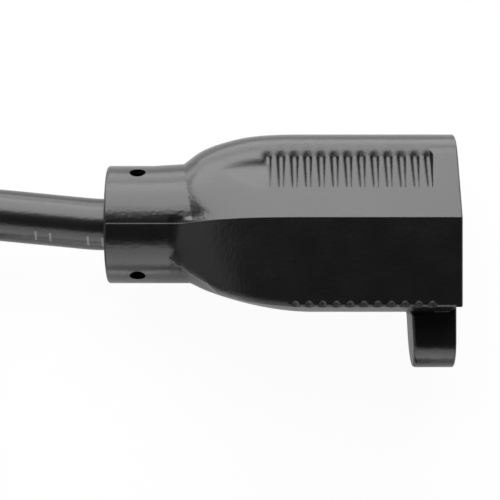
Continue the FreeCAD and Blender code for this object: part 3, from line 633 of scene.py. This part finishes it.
class POWERCORD_OT_stage(bpy.types.Operator):
    """Set up the camera, the floor and the studio light"""

    bl_idname = "power_cord.stage"
    bl_label = "Studio"

    def execute(self, context):
        scene = context.scene
        scene.view_settings.view_transform = "Standard"
        self.make_camera(scene)
        self.make_floor(scene)
        self.make_world(scene)
        stage = settings().stage
        self.make_softbox(scene, "key", KEY_PLACE, KEY_SIZE, stage.key_power)
        self.make_softbox(scene, "fill", FILL_PLACE, FILL_SIZE, stage.fill_power)
        self.make_softbox(scene, "side", SIDE_PLACE, SIDE_SIZE, stage.side_power)
        self.make_strip(scene, "key_strip", KEY_STRIP_PLACE, stage.strip_power)
        self.make_strip(scene, "fill_strip", FILL_STRIP_PLACE, stage.strip_power)
        return {"FINISHED"}

    def make_camera(self, scene):
        """A camera that looks straight down."""
        stage = settings().stage
        lens = bpy.data.cameras.new("camera")
        lens.lens = stage.camera_lens
        lens.sensor_width = 36.0
        lens.clip_start = 0.01
        lens.clip_end = 20.0
        camera = bpy.data.objects.new("camera", lens)
        camera.location = (CAMERA_ALONG, CAMERA_ACROSS, stage.camera_height)
        scene.collection.objects.link(camera)
        scene.camera = camera

    def make_floor(self, scene):
        """A white floor that glows to the camera and only faintly in the part's gloss."""
        mesh = bpy.data.meshes.new("floor")
        work = bmesh.new()
        bmesh.ops.create_grid(work, x_segments=1, y_segments=1, size=3.0)
        work.to_mesh(mesh)
        work.free()
        floor = bpy.data.objects.new("floor", mesh)
        scene.collection.objects.link(floor)
        material, shader = new_material("white_floor", roughness=0.9)
        tree = material.node_tree
        shader.inputs["Base Color"].default_value = (0.9, 0.9, 0.9, 1.0)
        rays = tree.nodes.new("ShaderNodeLightPath").outputs
        glow = add_node(tree, "ShaderNodeEmission", Strength=1.0)
        mirrored = calculate(tree, "MULTIPLY", rays["Is Glossy Ray"], FLOOR_MIRRORED)
        seen = calculate(tree, "MAXIMUM", rays["Is Camera Ray"], mirrored)
        seen = calculate(tree, "MAXIMUM", seen, rays["Is Transmission Ray"])
        share = calculate(tree, "MULTIPLY", seen, FLOOR_GLOW)
        mix = tree.nodes.new("ShaderNodeMixShader")
        tree.links.new(share, mix.inputs["Fac"])
        tree.links.new(shader.outputs["BSDF"], mix.inputs[1])
        tree.links.new(glow.outputs["Emission"], mix.inputs[2])
        output = tree.nodes["Material Output"]
        tree.links.new(mix.outputs["Shader"], output.inputs["Surface"])
        mesh.materials.append(material)

    def make_world(self, scene):
        """A white horizon that darkens to a dim ceiling."""
        world = bpy.data.worlds.new("studio")
        scene.world = world
        world.use_nodes = True
        tree = world.node_tree
        background = tree.nodes["Background"]
        place = tree.nodes.new("ShaderNodeTexCoord").outputs["Generated"]
        split = add_node(tree, "ShaderNodeSeparateXYZ", Vector=place)
        ramp = tree.nodes.new("ShaderNodeValToRGB")
        tree.links.new(split.outputs["Z"], ramp.inputs["Fac"])
        horizon, ceiling = ramp.color_ramp.elements
        horizon.position = SKY_WHITE_END
        horizon.color = SKY_WHITE
        ceiling.position = SKY_DIM_START
        ceiling.color = SKY_DIM
        tree.links.new(ramp.outputs["Color"], background.inputs["Color"])

    def make_lamp(self, scene, name, place, aim, size, power):
        """An area lamp that the camera doesn't see."""
        light = bpy.data.lights.new(name, "AREA")
        light.shape = "RECTANGLE"
        light.size, light.size_y = size
        light.energy = power
        lamp = bpy.data.objects.new(name, light)
        lamp.location = place
        lamp.rotation_euler = aim.to_track_quat("-Z", "Y").to_euler()
        lamp.visible_camera = False
        scene.collection.objects.link(lamp)

    def make_softbox(self, scene, name, place, size, power):
        """A softbox that faces the part."""
        aim = Vector(LAMP_TARGET) - Vector(place)
        self.make_lamp(scene, name, place, aim, size, power)

    def make_strip(self, scene, name, place, power):
        """A strip on the floor that faces up."""
        self.make_lamp(scene, name, place, Vector((0.0, 0.0, 1.0)), STRIP_SIZE, power)


class POWERCORD_OT_cord(bpy.types.Operator):
    """Lay the cord along its route, round its coil and into the plug"""

    bl_idname = "power_cord.cord"
    bl_label = "Cord"

    def coil_points(self):
        """Control points of the coil: an upper turn that comes down to a lower one."""
        cord = settings().cord
        steps = round(cord.coil_sweep / math.tau * cord.points_per_turn)
        step = cord.coil_sweep / steps
        radius = cord.coil_diameter / 2 / math.cos(step / 2)
        middle = Vector((*COIL_MIDDLE, 0.0)) * MM
        drop_start = cord.coil_sweep - math.tau
        drop_end = math.tau
        points = []
        for number in range(1, steps):
            turned = number * step
            angle = cord.coil_start + turned
            dropped = eased(turned, drop_start, drop_end)
            level = cord.upper_level + (cord.lower_level - cord.upper_level) * dropped
            spot = (radius * math.cos(angle), radius * math.sin(angle), level)
            points.append(middle + Vector(spot))
        return points

    def execute(self, context):
        sizes = settings().cord
        route = [Vector(p) * MM for p in LEAD_ROUTE]
        route += self.coil_points()
        route += [Vector(p) * MM for p in TAIL_ROUTE]
        line = bpy.data.curves.new("cord", "CURVE")
        line.dimensions = "3D"
        line.resolution_u = 10
        line.bevel_depth = sizes.diameter / 2
        line.bevel_resolution = 10
        line.use_fill_caps = True
        spline = line.splines.new("NURBS")
        spline.points.add(len(route) - 1)
        for point, spot in zip(spline.points, route):
            point.co = (*spot, 1.0)
        spline.order_u = 3
        spline.use_endpoint_u = True
        spline.use_smooth = True
        cord = bpy.data.objects.new("cord", line)
        context.scene.collection.objects.link(cord)
        line.materials.append(finish("black_jacket"))
        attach(cord, "root")
        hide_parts("cord_lead", "cord_coil", "cord_tail")
        return {"FINISHED"}


class POWERCORD_OT_connector(bpy.types.Operator):
    """Press the folds between collar and shoulder into a copy of the connector's moulding"""

    bl_idname = "power_cord.connector"
    bl_label = "Connector"

    def arm(self, spot):
        """From the collar's axis to a place, in millimetres."""
        return Vector((0.0, spot.y / MM - AXIS_ACROSS, spot.z / MM - AXIS_HEIGHT))

    def past_fold(self, spot, fold):
        """How far a place lies past a fold, in millimetres."""
        across = min(fold.reach, fold.side * self.arm(spot).y)
        return spot.x / MM - fold.start - fold.lean * across

    def on_skin(self, spot, fold):
        """Whether a place is on the fold's side of the moulding and not in its bore."""
        arm = self.arm(spot)
        return arm.y * fold.side > 0.0 and arm.length > SKIN_RADIUS

    def shaded_copy(self, solid):
        """A merged copy of a solid that remembers how each corner is shaded."""
        mesh = solid.data
        work = bmesh.new()
        work.from_mesh(mesh)
        shade = work.loops.layers.float_vector.new("shade")
        for face, polygon in zip(work.faces, mesh.polygons):
            for loop, index in zip(face.loops, polygon.loop_indices):
                loop[shade] = mesh.corner_normals[index].vector
        bmesh.ops.remove_doubles(work, verts=work.verts[:], dist=MERGE_DISTANCE * MM)
        return work, shade

    def cut_skin(self, work, fold):
        """Cut the skin along a fold and beside it, so that it can bend there."""
        skin = set()
        for face in work.faces:
            past = [self.past_fold(vert.co, fold) for vert in face.verts]
            beside = min(past) < CUT_END and max(past) > -FLARE_LENGTH
            if beside and self.on_skin(face.calc_center_median(), fold):
                skin.update((face, *face.edges, *face.verts))
        planes = []
        for number in range(round((CUT_END + FLARE_LENGTH) / CUT_STEP) + 1):
            place = fold.start - FLARE_LENGTH + number * CUT_STEP
            planes.append((place, Vector((1.0, -fold.lean * fold.side, 0.0))))
        for number in range(1, TURN_CUTS):
            angle = math.pi * number / TURN_CUTS
            planes.append((fold.start, Vector((0.0, math.cos(angle), math.sin(angle)))))
        skin = list(skin)
        for place, normal in planes:
            skin = bmesh.ops.bisect_plane(
                work,
                geom=skin,
                dist=CUT_TOLERANCE * MM,
                plane_co=Vector((place, AXIS_ACROSS, AXIS_HEIGHT)) * MM,
                plane_no=normal.normalized(),
            )["geom"]
        bmesh.ops.triangulate(work, faces=[face for face in work.faces if len(face.verts) > 3])

    def above_slope(self, height, blend):
        """A height that comes down smoothly to zero and never goes below it."""
        if height >= blend:
            return height
        if height <= -blend:
            return 0.0
        return (height + blend) ** 2 / (4 * blend)

    def pressed(self, spot, fold):
        """How far a point of the skin is pressed towards the axis, in millimetres: to a slight
        flare before the fold, and to a rising slope after it."""
        arm = self.arm(spot)
        across = arm.y * fold.side
        past = self.past_fold(spot, fold)
        side = across / arm.length
        rise = fold.rise + (fold.edge_rise - fold.rise) * side ** FLARE_POWER
        if past < 0.0:
            extra = arm.length - COLLAR_RADIUS - rise * (1 + past / FLARE_LENGTH)
        else:
            slope = fold.slope + fold.steepening * (side - fold.flattest) ** 2
            height = arm.length - COLLAR_RADIUS - rise - slope * past
            extra = self.above_slope(height, FOLD_BLEND * min(1.0, past))
        fade_end = fold.fade_end + fold.fade_growth * min(FADE_LIMIT, max(0.0, past))
        return extra * eased(across, fold.fade_start, fade_end)

    def press_fold(self, work, fold):
        """Move the skin, and give back the points that moved."""
        moved = set()
        for vert in work.verts:
            past = self.past_fold(vert.co, fold)
            if past < -FLARE_LENGTH or not self.on_skin(vert.co, fold):
                continue
            depth = self.pressed(vert.co, fold)
            if abs(depth) > LEAST_PRESS:
                vert.co -= self.arm(vert.co).normalized() * depth * MM
                moved.add(vert)
        return moved

    def shade_fold(self, work, shade, moved):
        """Shade the pressed faces smoothly, but not across a fold."""
        work.normal_update()
        limit = math.cos(math.radians(FACET_ANGLE))
        for face in work.faces:
            if not moved.intersection(face.verts):
                continue
            for loop in face.loops:
                around = [f for f in loop.vert.link_faces if f.normal.dot(face.normal) > limit]
                total = sum((f.normal * f.calc_area() for f in around), Vector())
                loop[shade] = total.normalized()

    def execute(self, context):
        work, shade = self.shaded_copy(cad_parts["connector_overmould"])
        for fold in (EARTH_FOLD, LUG_FOLD):
            self.cut_skin(work, fold)
            moved = self.press_fold(work, fold)
            self.shade_fold(work, shade, moved)
        for face in work.faces:
            face.smooth = True
        mesh = bpy.data.meshes.new("connector_moulding")
        work.to_mesh(mesh)
        normals = [loop[shade].copy() for face in work.faces for loop in face.loops]
        work.free()
        mesh.normals_split_custom_set(normals)
        moulding = bpy.data.objects.new("connector_moulding", mesh)
        context.scene.collection.objects.link(moulding)
        mesh.materials.append(finish("black_moulding"))
        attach(moulding, "root")
        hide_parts("connector_overmould")
        return {"FINISHED"}


class POWERCORD_OT_seam(bpy.types.Operator):
    """Run the mould seam along the collar and up the shoulder, on both sides"""

    bl_idname = "power_cord.seam"
    bl_label = "Mould seam"

    def seam_point(self, along):
        """Place of the seam on the upper side, at a distance along the connector."""
        done = (along - SHOULDER_START) / SHOULDER_LENGTH
        climbed = max(0.0, (done - CREASE_START) / (1 - CREASE_START))
        share = 1 - (1 - climbed) ** CREASE_POWER
        across = AXIS_ACROSS + share * CREASE_ACROSS
        height = COLLAR_RADIUS + share * (CREASE_HEIGHT - COLLAR_RADIUS)
        return across, height

    def execute(self, context):
        seam = settings().seam
        line = bpy.data.curves.new("mould_seam", "CURVE")
        line.dimensions = "3D"
        line.resolution_u = 2
        line.bevel_depth = seam.width / 2
        line.bevel_resolution = 2
        line.use_fill_caps = True
        for side in (1, -1):
            spline = line.splines.new("POLY")
            spline.points.add(SEAM_STEPS)
            for number, point in enumerate(spline.points):
                along = COLLAR_START + (seam.end / MM - COLLAR_START) * number / SEAM_STEPS
                across, height = self.seam_point(along)
                spot = Vector((along, across, AXIS_HEIGHT + side * height)) * MM
                point.co = (*spot, 1.0)
                left = (seam.end / MM - along) / SEAM_FADE
                point.radius = min(1.0, max(SEAM_THINNEST, left))
            spline.use_smooth = True
        bead = bpy.data.objects.new("mould_seam", line)
        context.scene.collection.objects.link(bead)
        line.materials.append(finish("black_moulding"))
        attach(bead, "root")
        return {"FINISHED"}


class POWERCORD_OT_finishes(bpy.types.Operator):
    """Give every solid its finish"""

    bl_idname = "power_cord.finishes"
    bl_label = "Finishes"

    def execute(self, context):
        for node, name in NODE_FINISHES.items():
            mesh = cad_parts[node].data
            mesh.materials.clear()
            mesh.materials.append(finish(name))
        return {"FINISHED"}


OPERATORS = (
    POWERCORD_OT_stage,
    POWERCORD_OT_cord,
    POWERCORD_OT_connector,
    POWERCORD_OT_seam,
    POWERCORD_OT_finishes,
)


class PowerCordSettings(bpy.types.PropertyGroup):
    """All the settings of the part."""

    cord: PointerProperty(type=CordSettings)
    seam: PointerProperty(type=SeamSettings)
    finish: PointerProperty(type=FinishSettings)
    stage: PointerProperty(type=StageSettings)


class POWERCORD_PT_panel(bpy.types.Panel):
    """The part's settings and the steps that build it"""

    bl_idname = "POWERCORD_PT_panel"
    bl_label = "Power Cord"
    bl_space_type = "VIEW_3D"
    bl_region_type = "UI"
    bl_category = "Power Cord"

    def draw(self, context):
        layout = self.layout
        for group in (settings().cord, settings().seam, settings().finish, settings().stage):
            box = layout.box()
            for name in group.__annotations__:
                box.prop(group, name)
        for operator in OPERATORS:
            layout.operator(operator.bl_idname)


CLASSES = (
    CordSettings,
    SeamSettings,
    FinishSettings,
    StageSettings,
    PowerCordSettings,
    *OPERATORS,
    POWERCORD_PT_panel,
)


def register():
    for cls in CLASSES:
        bpy.utils.register_class(cls)
    bpy.types.Scene.power_cord = PointerProperty(type=PowerCordSettings)


def unregister():
    del bpy.types.Scene.power_cord
    for cls in reversed(CLASSES):
        bpy.utils.unregister_class(cls)


def main():
    register()
    bpy.ops.power_cord.stage()
    bpy.ops.power_cord.cord()
    bpy.ops.power_cord.connector()
    bpy.ops.power_cord.seam()
    bpy.ops.power_cord.finishes()


if __name__ == "__main__":
    main()
